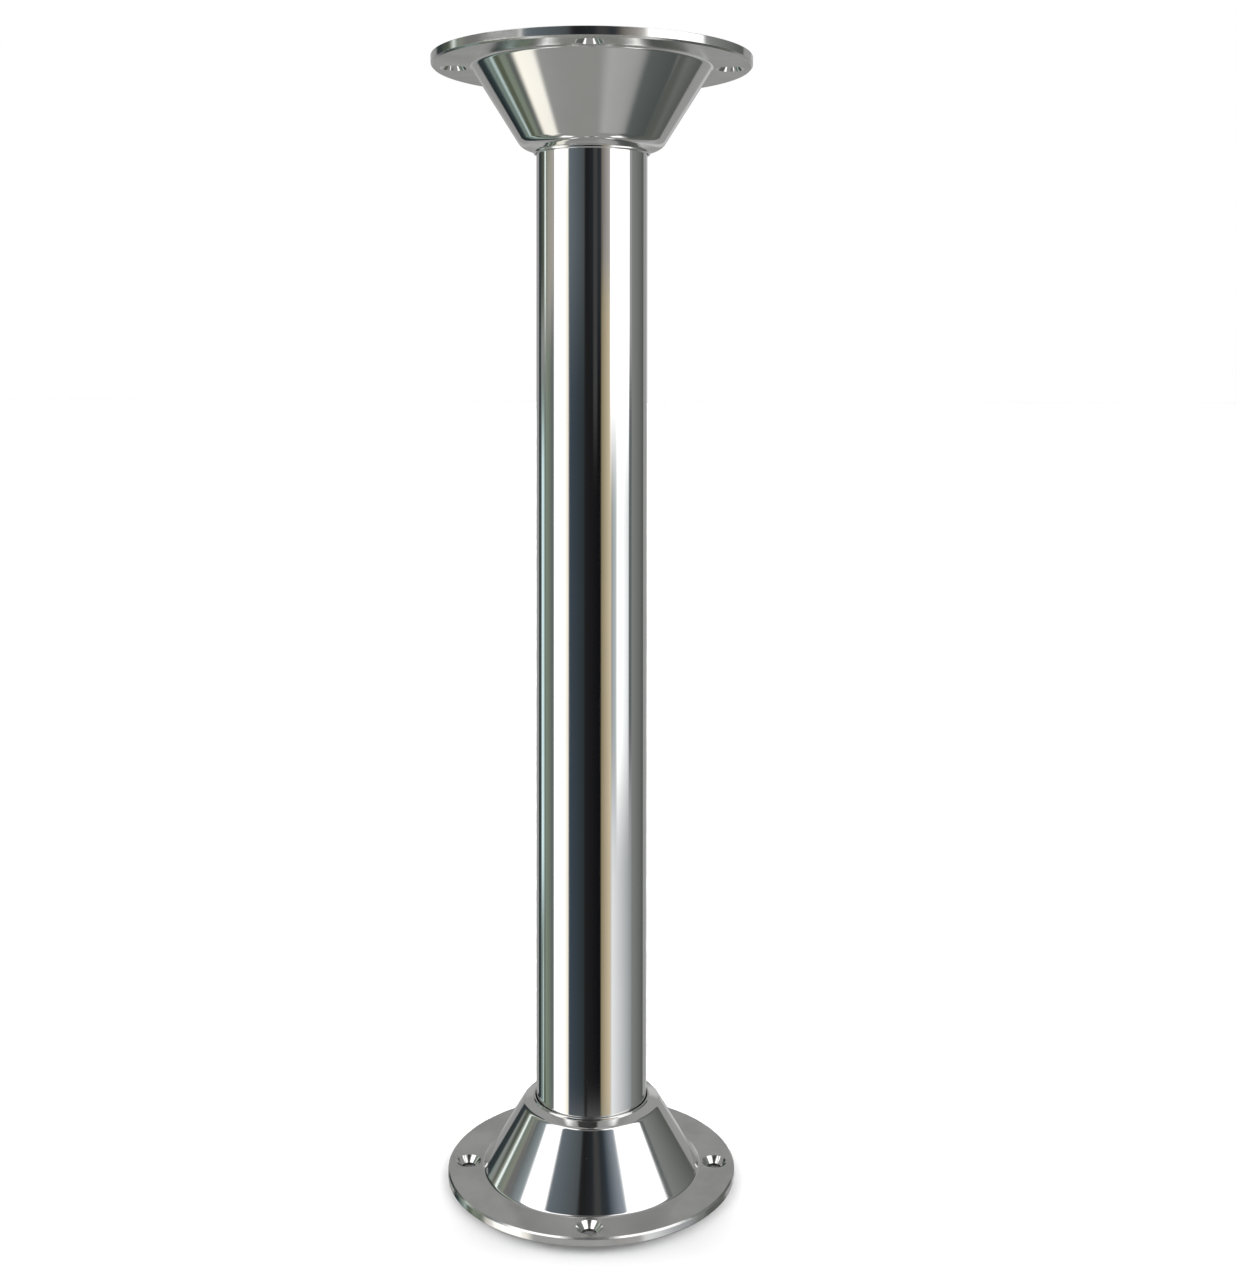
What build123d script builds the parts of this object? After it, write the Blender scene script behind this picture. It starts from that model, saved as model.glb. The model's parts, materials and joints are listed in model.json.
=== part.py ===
"""Pedestal table leg: a tapered round post that plugs into two flanged conical sockets.

Millimetres, +Z up. The origin is the centre of the base flange's lower face, on the post's axis.
The base socket screws to the floor. The top socket is the same casting turned over, and screws
to the underside of a table top. Each socket holds a plastic bush in which the post can turn and
from which it lifts out.
"""
from build123d import *
from dataclasses import dataclass
from math import degrees, hypot, radians, tan
import os

# ---- Whole leg ----
overall_height = 700.0          # floor to the underside of the table top
post_foot_diameter = 72.4       # outside of the post at its lower end
post_head_diameter = 65.2       # outside of the post at its upper end
post_wall = 3.0

# ---- Flanges and their screw holes ----
flange_diameter = 188.0
flange_thickness = 5.5
flange_edge_chamfer = 1.0       # on the face that shows
flange_back_chamfer = 0.4       # on the mounting face
screw_count = 4
screw_edge_distance = 13.0      # from the flange's rim to a hole's centre
screw_hole_diameter = 9.0       # clearance for M8
countersink_diameter = 16.5
countersink_angle = 90.0

# ---- Conical bodies of the sockets ----
socket_height = 54.1            # mounting face to the lip at the mouth
flange_ledge = 23.2             # flat of the flange, from the cone's foot to the rim
cone_foot_fillet = 2.5
cone_wall = 6.0
mouth_face_slope = 19.5         # the mouth's face rises this many degrees towards the bore
base_collar_width = 7.6         # from the bore to the cone's upper corner
top_collar_width = 8.8
base_mouth_rounding = 3.5
top_mouth_rounding = 9.0
lip_width = 1.3                 # low bead round the bore
lip_height = 1.4
lip_rounding = 0.6
boss_wall = 5.0                 # metal round the bush
rib_count = 8
rib_thickness = 5.0
pocket_roof_width = 3.0         # narrowest width of the hollow under the cone

# ---- Bushes, thrust washers, retaining rings and O-rings ----
running_clearance = 0.35        # radial, post in bush and in mouth
bush_wall = 3.4
bush_floor_thickness = 4.0
bush_seat_depth = 7.2           # from the lip down to the shoulder that stops the bush
bush_hole_radius = 20.0
bush_chamfer = 0.8
bush_slit_width = 2.0
press_allowance = 0.02          # radial, bush in its socket
washer_thickness = 2.0
washer_hole_radius = 22.0
washer_clearance = 0.8          # radial, washer in bush
ring_setback = 3.0              # retaining ring's outer face behind the mounting face
ring_thickness = 2.5
ring_radial_width = 5.2
ring_groove_depth = 1.75
ring_play = 0.1                 # round the ring in its groove
ring_gap_angle = 24.0
ring_lug_radius = 4.2
ring_lug_hole_radius = 1.3
o_ring_section = 2.6
o_ring_clearance = 0.2          # radial, to the widest part of the post that passes it
o_ring_land = 2.3               # metal between the groove and the lip
o_ring_play = 0.05

# ---- End plugs and their screws ----
plug_flange_thickness = 4.0
plug_flange_setback = 0.4       # plug's rim inside the post's surface
plug_spigot_length = 22.0
plug_wall = 4.5
plug_clearance = 0.05
plug_vent_radius = 4.0
plug_chamfer = 1.0
plug_screw_count = 3
plug_screw_offset = 11.0        # from the end of the tube
plug_screw_radius = 2.5
plug_screw_head_radius = 4.6
plug_screw_length = 8.5
plug_screw_setback = 0.25       # head below the post's surface
plug_screw_key_radius = 1.5
plug_screw_key_depth = 1.6
plug_screw_clearance = 0.05

flange_radius = flange_diameter / 2
screw_circle_radius = flange_radius - screw_edge_distance
cone_foot_radius = flange_radius - flange_ledge

# Heights of the stack inside a socket, counted from its mounting face.
bush_foot = ring_setback + ring_thickness
bush_head = socket_height - bush_seat_depth
washer_foot = bush_foot + bush_floor_thickness
post_end = washer_foot + washer_thickness
o_ring_height = socket_height - o_ring_land - o_ring_section / 2

tube_foot = post_end + plug_flange_thickness
tube_head = overall_height - tube_foot
post_taper = (post_head_diameter - post_foot_diameter) / 2 / (tube_head - tube_foot)
lower_screw_height = tube_foot + plug_screw_offset
upper_screw_height = tube_head - plug_screw_offset


def post_radius(height):
    """Outside radius of the post at a height above the floor."""
    return post_foot_diameter / 2 + post_taper * (height - tube_foot)


def turned(outline):
    """Solid turned about Z from a closed outline of (radius, height) points."""
    return revolve(make_face(Plane.XZ * Polyline(*outline, close=True)), Axis.Z)


def tube(outer, inner, low, high):
    """Straight ring about Z between two radii and two heights."""
    return turned([(inner, low), (outer, low), (outer, high), (inner, high)])


def circles(part, radius, height):
    """Circular edges of a part at one radius and height."""
    found = part.edges().filter_by(GeomType.CIRCLE)
    return found.filter_by(
        lambda edge: abs(edge.radius - radius) < 0.01 and abs(edge.arc_center.Z - height) < 0.01)


def turned_over(part):
    """The same piece upside down, measured from the underside of the table top."""
    return Pos(0, 0, overall_height) * Rot(180, 0, 0) * part


@dataclass
class SocketSize:
    """Sizes of one socket, worked out from the post that enters it.

    widest_radius: the widest part of the post that passes through the mouth.
    collar_width: from the bore to the sharp corner where the cone meets the mouth's face.
    mouth_rounding: radius of the rounding on that corner.
    """
    widest_radius: float
    collar_width: float
    mouth_rounding: float

    @property
    def bore_radius(self):
        return self.widest_radius + running_clearance

    @property
    def bush_radius(self):
        return self.bore_radius + bush_wall

    @property
    def boss_radius(self):
        return self.bush_radius + boss_wall

    @property
    def corner(self):
        """Radius and height of the sharp corner between the cone and the mouth's face."""
        drop = (self.collar_width - lip_width) * tan(radians(mouth_face_slope))
        return self.bore_radius + self.collar_width, socket_height - lip_height - drop

    @property
    def cone_lean(self):
        """How much the cone's radius falls for each millimetre of height."""
        radius, height = self.corner
        return (cone_foot_radius - radius) / (height - flange_thickness)


def socket(size):
    """Cast socket with its mounting face at height 0 and its mouth upwards."""
    corner_radius, corner_height = size.corner
    lip_radius = size.bore_radius + lip_width
    lip_foot = socket_height - lip_height
    body = turned([
        (size.bore_radius, 0), (flange_radius, 0), (flange_radius, flange_thickness),
        (cone_foot_radius, flange_thickness), (corner_radius, corner_height),
        (lip_radius, lip_foot), (lip_radius, socket_height), (size.bore_radius, socket_height)])
    body = fillet(circles(body, corner_radius, corner_height), size.mouth_rounding)
    body = fillet(circles(body, cone_foot_radius, flange_thickness), cone_foot_fillet)
    body = fillet(
        circles(body, lip_radius, socket_height) + circles(body, size.bore_radius, socket_height),
        lip_rounding)
    body = chamfer(circles(body, flange_radius, flange_thickness), flange_edge_chamfer)
    body = chamfer(circles(body, flange_radius, 0), flange_back_chamfer)
    body -= tube(size.bush_radius + press_allowance, 0, 0, bush_head)
    body -= tube(size.bush_radius + ring_groove_depth + ring_play, 0,
                 ring_setback - ring_play, bush_foot)
    groove = Torus(size.widest_radius + o_ring_clearance + o_ring_section / 2,
                   o_ring_section / 2 + o_ring_play)
    body -= Pos(0, 0, o_ring_height) * groove
    body -= hollow(size)
    return body - screw_holes()


def hollow(size):
    """Ring of pockets cast under the cone, with a rib between each two."""
    wall_at_floor = cone_wall * hypot(1, size.cone_lean)
    floor_radius = cone_foot_radius + size.cone_lean * flange_thickness - wall_at_floor
    roof_radius = size.boss_radius + pocket_roof_width
    roof_height = (floor_radius - roof_radius) / size.cone_lean
    pockets = turned([
        (size.boss_radius, 0), (floor_radius, 0),
        (roof_radius, roof_height), (size.boss_radius, roof_height)])
    for index in range(rib_count):
        angle = (index + 0.5) * 360 / rib_count
        rib = Box(flange_radius, rib_thickness, socket_height, align=(Align.MIN, Align.CENTER, Align.MIN))
        pockets -= Rot(0, 0, angle) * rib
    return pockets


def screw_holes():
    """Countersunk holes through a flange, opening on the face away from the mounting."""
    hole_radius = screw_hole_diameter / 2
    sink_radius = countersink_diameter / 2
    sink_depth = (sink_radius - hole_radius) / tan(radians(countersink_angle / 2))
    sink_foot = flange_thickness - sink_depth
    above = flange_thickness + 1
    hole = turned([
        (0, -1), (hole_radius, -1), (hole_radius, sink_foot),
        (sink_radius, flange_thickness), (sink_radius, above), (0, above)])
    return [loc * hole for loc in PolarLocations(screw_circle_radius, screw_count)]


def bush(size):
    """Plastic sleeve with a floor that carries the thrust washer, slit down one side."""
    sleeve = turned([
        (bush_hole_radius, bush_foot), (size.bush_radius, bush_foot), (size.bush_radius, bush_head),
        (size.bore_radius, bush_head), (size.bore_radius, washer_foot), (bush_hole_radius, washer_foot)])
    sleeve = chamfer(circles(sleeve, size.bush_radius, bush_head), bush_chamfer)
    sleeve = chamfer(circles(sleeve, size.bore_radius, bush_head), bush_chamfer)
    slit = Box(2 * size.bush_radius, bush_slit_width, bush_head - washer_foot,
               align=(Align.MIN, Align.CENTER, Align.MIN))
    return sleeve - Rot(0, 0, 45) * Pos(0, 0, washer_foot) * slit


def retaining_ring(size):
    """Open spring ring that holds the bush up in the socket, with two eyes for pliers."""
    outer = size.bush_radius + ring_groove_depth
    inner = outer - ring_radial_width
    ring = tube(outer, inner, ring_setback, bush_foot)
    eye_centre = outer - ring_lug_radius
    eye_angle = ring_gap_angle / 2 + degrees(ring_lug_radius / eye_centre)
    gap = Polyline(
        (0, 0), (2 * outer, 2 * outer * tan(radians(ring_gap_angle / 2))),
        (2 * outer, -2 * outer * tan(radians(ring_gap_angle / 2))), close=True)
    ring -= extrude(make_face(gap), amount=socket_height)
    for side in (-1, 1):
        place = Rot(0, 0, side * eye_angle) * Pos(eye_centre, 0, ring_setback)
        eye = Cylinder(ring_lug_radius, ring_thickness, align=(Align.CENTER, Align.CENTER, Align.MIN))
        hole = Cylinder(ring_lug_hole_radius, 3 * ring_thickness)
        ring = ring + place * eye - place * hole
    return ring


def o_ring(size):
    """Rubber ring that takes the rattle out of the post."""
    ring = Torus(size.widest_radius + o_ring_clearance + o_ring_section / 2, o_ring_section / 2)
    return Pos(0, 0, o_ring_height) * ring


def thrust_washer(size):
    """Flat plastic washer between the bush's floor and the end of the post."""
    return tube(size.bore_radius - washer_clearance, washer_hole_radius, washer_foot, post_end)


def post_tube():
    """Tapered metal tube, open at both ends, drilled for the plug screws."""
    foot, head = post_foot_diameter / 2, post_head_diameter / 2
    body = turned([
        (foot - post_wall, tube_foot), (foot, tube_foot), (head, tube_head), (head - post_wall, tube_head)])
    return body - plug_screw_holes(lower_screw_height) - plug_screw_holes(upper_screw_height)


def end_plug(height, inward, screw_height):
    """Cup that closes one end of the tube and bears on a thrust washer.

    height: the end of the tube that it closes.
    inward: 1 where the tube lies above the plug, -1 where it lies below.
    screw_height: where its screws enter.
    """
    wall = post_wall + plug_clearance
    outer = height - inward * plug_flange_thickness
    tip = height + inward * plug_spigot_length
    rim = min(post_radius(height), post_radius(outer)) - plug_flange_setback
    root = post_radius(height) - wall
    end = post_radius(tip) - wall
    plug = turned([
        (plug_vent_radius, outer), (rim, outer), (rim, height), (root, height), (end, tip),
        (end - plug_wall, tip), (end - plug_wall, height), (plug_vent_radius, height)])
    plug = chamfer(circles(plug, rim, outer), plug_chamfer)
    return plug - plug_screw_holes(screw_height)


def round_the_post(piece, height):
    """Copies of a piece that points outwards along Z, set radially into the post at a height."""
    surface = post_radius(height) - plug_screw_setback
    facing = Pos(surface, 0, height) * Rot(0, 90, 0) * piece
    return [Rot(0, 0, 90 + index * 360 / plug_screw_count) * facing for index in range(plug_screw_count)]


def plug_screws(height):
    """Countersunk screws with hexagon sockets, driven through the tube into a plug."""
    head_depth = plug_screw_head_radius - plug_screw_radius
    screw = turned([
        (0, 0), (plug_screw_head_radius, 0), (plug_screw_radius, -head_depth),
        (plug_screw_radius, -plug_screw_length), (0, -plug_screw_length)])
    key = RegularPolygon(plug_screw_key_radius, 6)
    screw -= extrude(key, amount=-plug_screw_key_depth)
    return Compound(children=round_the_post(screw, height))


def plug_screw_holes(height):
    """Countersunk holes that the plug screws pass through, open to the post's surface."""
    head = plug_screw_head_radius + plug_screw_clearance
    shank = plug_screw_radius + plug_screw_clearance
    above = 2 * plug_screw_setback
    hole = turned([
        (0, above), (head, above), (head, plug_screw_clearance), (shank, shank - head),
        (shank, -plug_screw_length), (0, -plug_screw_length)])
    return round_the_post(hole, height)


base_size = SocketSize(
    max(post_radius(tube_foot), post_radius(socket_height)), base_collar_width, base_mouth_rounding)
top_size = SocketSize(
    max(post_radius(tube_head), post_radius(overall_height - socket_height)),
    top_collar_width, top_mouth_rounding)

pieces = {
    "base_socket": socket(base_size),
    "base_bush": bush(base_size),
    "base_retaining_ring": retaining_ring(base_size),
    "base_o_ring": o_ring(base_size),
    "base_thrust_washer": thrust_washer(base_size),
    "post_tube": post_tube(),
    "lower_end_plug": end_plug(tube_foot, 1, lower_screw_height),
    "lower_plug_screws": plug_screws(lower_screw_height),
    "upper_end_plug": end_plug(tube_head, -1, upper_screw_height),
    "upper_plug_screws": plug_screws(upper_screw_height),
    "top_thrust_washer": turned_over(thrust_washer(top_size)),
    "top_socket": turned_over(socket(top_size)),
    "top_bush": turned_over(bush(top_size)),
    "top_retaining_ring": turned_over(retaining_ring(top_size)),
    "top_o_ring": turned_over(o_ring(top_size)),
}

os.makedirs("parts", exist_ok=True)
for name, piece in pieces.items():
    export_step(piece, f"parts/{name}.step")
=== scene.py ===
"""Looks of a pedestal table leg: a polished tapered post between two cast, flanged sockets.

Every length is in metres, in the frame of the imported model: +Z up, with the origin at the centre of
the base flange's lower face. The post, the sockets and what sits inside them are turned here as fine
meshes that stand for the nodes of the same names.
"""
import json
import logging
from dataclasses import dataclass, field
from enum import Enum
from math import atan2, ceil, cos, degrees, hypot, pi, radians, sin, tan
from typing import Callable, Iterable, Optional, Sequence, Union

import bpy
from bpy.types import Material, Node, NodeSocket, NodeTree, Object
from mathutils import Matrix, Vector


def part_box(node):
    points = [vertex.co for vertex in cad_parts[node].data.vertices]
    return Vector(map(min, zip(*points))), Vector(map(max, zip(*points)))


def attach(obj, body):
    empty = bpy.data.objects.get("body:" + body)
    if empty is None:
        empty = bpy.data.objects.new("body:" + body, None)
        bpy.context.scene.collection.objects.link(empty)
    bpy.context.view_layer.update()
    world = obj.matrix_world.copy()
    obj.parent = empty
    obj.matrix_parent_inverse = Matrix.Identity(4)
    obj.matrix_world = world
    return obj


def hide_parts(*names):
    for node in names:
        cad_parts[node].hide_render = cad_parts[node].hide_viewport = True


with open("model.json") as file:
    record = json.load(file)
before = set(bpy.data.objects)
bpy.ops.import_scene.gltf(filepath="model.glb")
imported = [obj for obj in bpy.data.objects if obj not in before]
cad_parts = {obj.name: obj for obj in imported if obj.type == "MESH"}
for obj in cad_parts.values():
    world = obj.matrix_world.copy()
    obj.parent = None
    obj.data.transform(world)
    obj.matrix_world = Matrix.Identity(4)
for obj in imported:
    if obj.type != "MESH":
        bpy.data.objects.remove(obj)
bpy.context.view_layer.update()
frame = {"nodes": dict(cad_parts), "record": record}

log = logging.getLogger("pedestal_leg")

MM = 0.001
LEG_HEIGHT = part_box("top_socket")[1].z
FLANGE_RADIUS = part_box("base_socket")[1].x
SMOOTH_ANGLE = radians(28)
MERGE_DISTANCE = 0.005 * MM
BORE_PLAY = 0.35 * MM
FINE_SIDES = 256
MEDIUM_SIDES = 128
SMALL_SIDES = 48
SEAL_STEPS = 28
SPECK_SIZE = 2.2 * MM
SPECK_COVER = 0.5
SPECK_ROUGHNESS = 0.2
DUST_SHADE = 0.72
RUBBED_GAIN = 1.12
RUBBED_COVER = 0.6
RUBBED_ROUGHNESS = 0.08
SCREEN_WHITE = 255
SCREEN_GAMMA = 2.2

Colour = tuple[float, float, float]
Source = Union[NodeSocket, float, tuple]


# --- Node wiring -------------------------------------------------------------

class NodeBench:
    """Adds and wires the nodes of one node tree."""

    def __init__(self, tree: NodeTree) -> None:
        """Works on the node tree of a material, a world or a group, which it first empties."""
        self.tree = tree
        tree.nodes.clear()

    def node(self, kind: str, **settings: object) -> Node:
        """Adds one node of a kind, with some of its attributes set."""
        made = self.tree.nodes.new(kind)
        for name, value in settings.items():
            setattr(made, name, value)
        return made

    def feed(self, socket: NodeSocket, source: Source) -> None:
        """Links a socket into another, or sets it to a constant."""
        if isinstance(source, NodeSocket):
            self.tree.links.new(source, socket)
        else:
            socket.default_value = source

    def math(self, operation: str, first: Source, second: Source = 0.0, third: Source = 0.0) -> NodeSocket:
        """Output of a Math node, which uses one to three operands."""
        made = self.node("ShaderNodeMath", operation=operation)
        for socket, source in zip(made.inputs, (first, second, third)):
            self.feed(socket, source)
        return made.outputs[0]

    def remap(self, value: Source, start: Source, end: Source, low: Source = 0.0, high: Source = 1.0,
              smooth: bool = True) -> NodeSocket:
        """Output of a Map Range node.

        Args:
            value: what is remapped.
            start: the value that becomes low.
            end: the value that becomes high.
            low: the result at start and before.
            high: the result at end and after.
            smooth: eases in and out instead of running straight.

        Returns:
            The result's socket.
        """
        kind = "SMOOTHSTEP" if smooth else "LINEAR"
        made = self.node("ShaderNodeMapRange", interpolation_type=kind)
        for name, source in (("Value", value), ("From Min", start), ("From Max", end),
                             ("To Min", low), ("To Max", high)):
            self.feed(made.inputs[name], source)
        return made.outputs[0]

    def mix(self, share: Source, first: Source, second: Source) -> NodeSocket:
        """Colour that lies a share of the way from the first colour to the second."""
        made = self.node("ShaderNodeMix", data_type="RGBA")
        for socket, source in ((made.inputs[0], share), (made.inputs[6], first), (made.inputs[7], second)):
            self.feed(socket, (*source, 1.0) if isinstance(source, tuple) else source)
        return made.outputs[2]

    def split(self, vector: Source) -> Sequence[NodeSocket]:
        """The x, y and z of a vector."""
        made = self.node("ShaderNodeSeparateXYZ")
        self.feed(made.inputs[0], vector)
        return made.outputs

    def stretch(self, vector: Source, x: Source, y: Source, z: Source) -> NodeSocket:
        """A vector multiplied by three factors."""
        factors = self.node("ShaderNodeCombineXYZ")
        for socket, source in zip(factors.inputs, (x, y, z)):
            self.feed(socket, source)
        made = self.node("ShaderNodeVectorMath", operation="MULTIPLY")
        self.feed(made.inputs[0], vector)
        self.feed(made.inputs[1], factors.outputs[0])
        return made.outputs[0]

    def noise(self, vector: Source, scale: Source = 1.0, detail: float = 2.0,
              roughness: float = 0.5) -> NodeSocket:
        """Value of a three-dimensional noise texture, scale features to the unit of length."""
        made = self.node("ShaderNodeTexNoise")
        for name, source in (("Vector", vector), ("Scale", scale), ("Detail", detail),
                             ("Roughness", roughness)):
            self.feed(made.inputs[name], source)
        return made.outputs["Fac"]


# --- Shared surface effects --------------------------------------------------

class Effect(Enum):
    """Surface effects that several finishes share, each a node group built once."""

    TURNED = "turning_marks"
    LENGTHWISE = "lengthwise_grain"
    CAST = "cast_skin"
    HAZE = "polishing_haze"
    SPECKS = "fine_specks"
    WEAR = "edge_wear"

    def group(self) -> NodeTree:
        """The node group of this effect, built when it is first asked for."""
        found = bpy.data.node_groups.get(self.value)
        return found if found else self.build()

    def build(self) -> NodeTree:
        """Builds the group: a vector and some numbers go in, one number comes out."""
        inputs, output, recipe = RECIPES[self]
        tree = bpy.data.node_groups.new(self.value, "ShaderNodeTree")
        tree.interface.new_socket("Vector", in_out="INPUT", socket_type="NodeSocketVector")
        for name in inputs:
            tree.interface.new_socket(name, in_out="INPUT", socket_type="NodeSocketFloat")
        tree.interface.new_socket(output, in_out="OUTPUT", socket_type="NodeSocketFloat")
        bench = NodeBench(tree)
        entry = bench.node("NodeGroupInput")
        leave = bench.node("NodeGroupOutput")
        bench.feed(leave.inputs[0], recipe(bench, *entry.outputs[:len(inputs) + 1]))
        return tree

    def place(self, bench: NodeBench, vector: Source, **inputs: float) -> NodeSocket:
        """Puts the effect in a material, with its inputs set, and gives its one output."""
        made = bench.node("ShaderNodeGroup", node_tree=self.group())
        bench.feed(made.inputs["Vector"], vector)
        for name, value in inputs.items():
            made.inputs[name.replace("_", " ").capitalize()].default_value = value
        return made.outputs[0]


def distance_from_axis(bench: NodeBench, vector: Source) -> tuple[NodeSocket, NodeSocket]:
    """Distance of a place from the leg's axis, and its height."""
    x, y, z = bench.split(vector)
    squares = bench.math("MULTIPLY_ADD", x, x, bench.math("MULTIPLY", y, y))
    return bench.math("SQRT", squares), z


def turning_marks(bench: NodeBench, vector: Source, pitch: Source) -> NodeSocket:
    """Grooves that a lathe tool leaves: rings on a flat face, threads round a cylinder."""
    radius, height = distance_from_axis(bench, vector)
    along = bench.math("DIVIDE", bench.math("ADD", radius, height), pitch)
    grooves = bench.node("ShaderNodeTexNoise", noise_dimensions="1D")
    for name, source in (("W", along), ("Scale", 1.0), ("Detail", 4.0), ("Roughness", 0.62)):
        bench.feed(grooves.inputs[name], source)
    drift = bench.noise(vector, scale=30.0, detail=1.0)
    return bench.math("MULTIPLY_ADD", drift, 0.35, grooves.outputs["Fac"])


def lengthwise_grain(bench: NodeBench, vector: Source, pitch: Source) -> NodeSocket:
    """Fine lines and slow waves that a polishing belt leaves along a tube."""
    across = bench.math("DIVIDE", 1.0, pitch)
    along = bench.math("DIVIDE", across, 90.0)
    lines = bench.noise(bench.stretch(vector, across, across, along), detail=3.0, roughness=0.6)
    waves = bench.noise(bench.stretch(vector, 42.0, 42.0, 5.0), detail=1.0)
    return bench.math("MULTIPLY_ADD", waves, 2.5, lines)


def cast_skin(bench: NodeBench, vector: Source, pitch: Source) -> NodeSocket:
    """Pebbled skin of a sand casting, or of rubber and fine coatings where the pitch is small."""
    scale = bench.math("DIVIDE", 1.0, pitch)
    pebbles = bench.node("ShaderNodeTexVoronoi", feature="SMOOTH_F1")
    bench.feed(pebbles.inputs["Vector"], vector)
    bench.feed(pebbles.inputs["Scale"], scale)
    grit = bench.noise(vector, scale, detail=5.0, roughness=0.7)
    return bench.math("MULTIPLY_ADD", pebbles.outputs["Distance"], 0.6, grit)


def polishing_haze(bench: NodeBench, vector: Source, size: Source) -> NodeSocket:
    """Broad cloudy patches where a buffing wheel leaves the polish a little duller."""
    clouds = bench.noise(vector, bench.math("DIVIDE", 1.0, size), detail=4.0, roughness=0.55)
    return bench.remap(clouds, 0.32, 0.72)


def fine_specks(bench: NodeBench, vector: Source, size: Source, amount: Source) -> NodeSocket:
    """Sparse specks of dust and pinholes of the polish."""
    dots = bench.node("ShaderNodeTexVoronoi", feature="F1")
    bench.feed(dots.inputs["Vector"], vector)
    bench.feed(dots.inputs["Scale"], bench.math("DIVIDE", 1.0, size))
    near = bench.remap(dots.outputs["Distance"], 0.05, 0.16, 1.0, 0.0)
    chosen = bench.math("LESS_THAN", bench.split(dots.outputs["Color"])[0], amount)
    return bench.math("MULTIPLY", near, chosen)


def edge_wear(bench: NodeBench, vector: Source, radius: Source, from_middle: Source,
              width: Source) -> NodeSocket:
    """Rubbed and nicked band round one turned edge of both sockets.

    Args:
        bench: where the nodes go.
        vector: the place.
        radius: of the edge, from the axis.
        from_middle: distance of the edge above and below the leg's middle.
        width: half width of the band.

    Returns:
        The socket of how worn the place is.
    """
    here, height = distance_from_axis(bench, vector)
    off_middle = bench.math("ABSOLUTE", bench.math("SUBTRACT", height, LEG_HEIGHT / 2))
    across = bench.math("SUBTRACT", here, radius)
    along = bench.math("SUBTRACT", off_middle, from_middle)
    squares = bench.math("MULTIPLY_ADD", across, across, bench.math("MULTIPLY", along, along))
    band = bench.remap(bench.math("SQRT", squares), 0.0, width, 1.0, 0.0)
    patches = bench.remap(bench.noise(vector, scale=420.0, detail=4.0, roughness=0.65), 0.44, 0.62)
    return bench.math("MULTIPLY", band, patches)


RECIPES: dict[Effect, tuple[tuple[str, ...], str, Callable[..., NodeSocket]]] = {
    Effect.TURNED: (("Pitch",), "Height", turning_marks),
    Effect.LENGTHWISE: (("Pitch",), "Height", lengthwise_grain),
    Effect.CAST: (("Pitch",), "Height", cast_skin),
    Effect.HAZE: (("Size",), "Amount", polishing_haze),
    Effect.SPECKS: (("Size", "Amount"), "Mask", fine_specks),
    Effect.WEAR: (("Radius", "From middle", "Width"), "Mask", edge_wear),
}


# --- Finishes ----------------------------------------------------------------

@dataclass(frozen=True)
class Finish:
    """Surface of one kind of piece, made into one material.

    Args:
        name: the material's name.
        slot: the record's material slot that it belongs to. Not used.
        colour: base colour where the surface is clean.
        dull_colour: base colour where haze is strongest.
        metallic: 1 for bare metal.
        roughness: at the best polish.
        dull_roughness: where haze is strongest.
        grain: which grain the surface has.
        grain_pitch: width of one groove, line or pebble.
        grain_depth: depth of the grain.
        haze_size: size of the cloudy patches.
        speck_amount: share of the places that hold a speck.
        worn_radius: radius of the turned edge that is rubbed, or 0.
        worn_depth: distance of that edge from the leg's nearer end.
        worn_width: half width of the rubbed band.
    """

    name: str
    slot: str
    colour: Colour
    dull_colour: Colour
    metallic: float
    roughness: float
    dull_roughness: float
    grain: Effect
    grain_pitch: float
    grain_depth: float
    haze_size: float = 0.05
    speck_amount: float = 0.06
    worn_radius: float = 0.0
    worn_depth: float = 5.0 * MM
    worn_width: float = 1.5 * MM

    def material(self) -> Material:
        """The finish's material, built when it is first asked for."""
        found = bpy.data.materials.get(self.name)
        return found if found else self.build()

    def build(self) -> Material:
        """Builds the material: haze, worn edge, specks and grain over clean metal or plastic."""
        made = bpy.data.materials.new(self.name)
        made.use_nodes = True
        bench = NodeBench(made.node_tree)
        place = bench.node("ShaderNodeTexCoord").outputs["Object"]
        haze = Effect.HAZE.place(bench, place, size=self.haze_size)
        specks = Effect.SPECKS.place(bench, place, size=SPECK_SIZE, amount=self.speck_amount)
        colour = bench.mix(haze, self.colour, self.dull_colour)
        roughness = bench.remap(haze, 0.0, 1.0, self.roughness, self.dull_roughness, smooth=False)
        if self.worn_radius:
            wear = Effect.WEAR.place(bench, place, radius=self.worn_radius, width=self.worn_width,
                                     from_middle=LEG_HEIGHT / 2 - self.worn_depth)
            rubbed = tuple(min(1.0, RUBBED_GAIN * part) for part in self.colour)
            colour = bench.mix(bench.math("MULTIPLY", wear, RUBBED_COVER), colour, rubbed)
            roughness = bench.math("MULTIPLY_ADD", wear, RUBBED_ROUGHNESS, roughness)
        dusty = tuple(DUST_SHADE * part for part in self.dull_colour)
        colour = bench.mix(bench.math("MULTIPLY", specks, SPECK_COVER), colour, dusty)
        roughness = bench.math("MULTIPLY_ADD", specks, SPECK_ROUGHNESS, roughness)
        grain = self.grain.place(bench, place, pitch=self.grain_pitch)
        bump = bench.node("ShaderNodeBump")
        bump.inputs["Distance"].default_value = self.grain_depth
        bench.feed(bump.inputs["Height"], grain)
        shader = bench.node("ShaderNodeBsdfPrincipled")
        shader.inputs["Metallic"].default_value = self.metallic
        bench.feed(shader.inputs["Base Color"], colour)
        bench.feed(shader.inputs["Roughness"], roughness)
        bench.feed(shader.inputs["Normal"], bump.outputs["Normal"])
        output = bench.node("ShaderNodeOutputMaterial")
        bench.feed(output.inputs["Surface"], shader.outputs["BSDF"])
        return made


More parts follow.
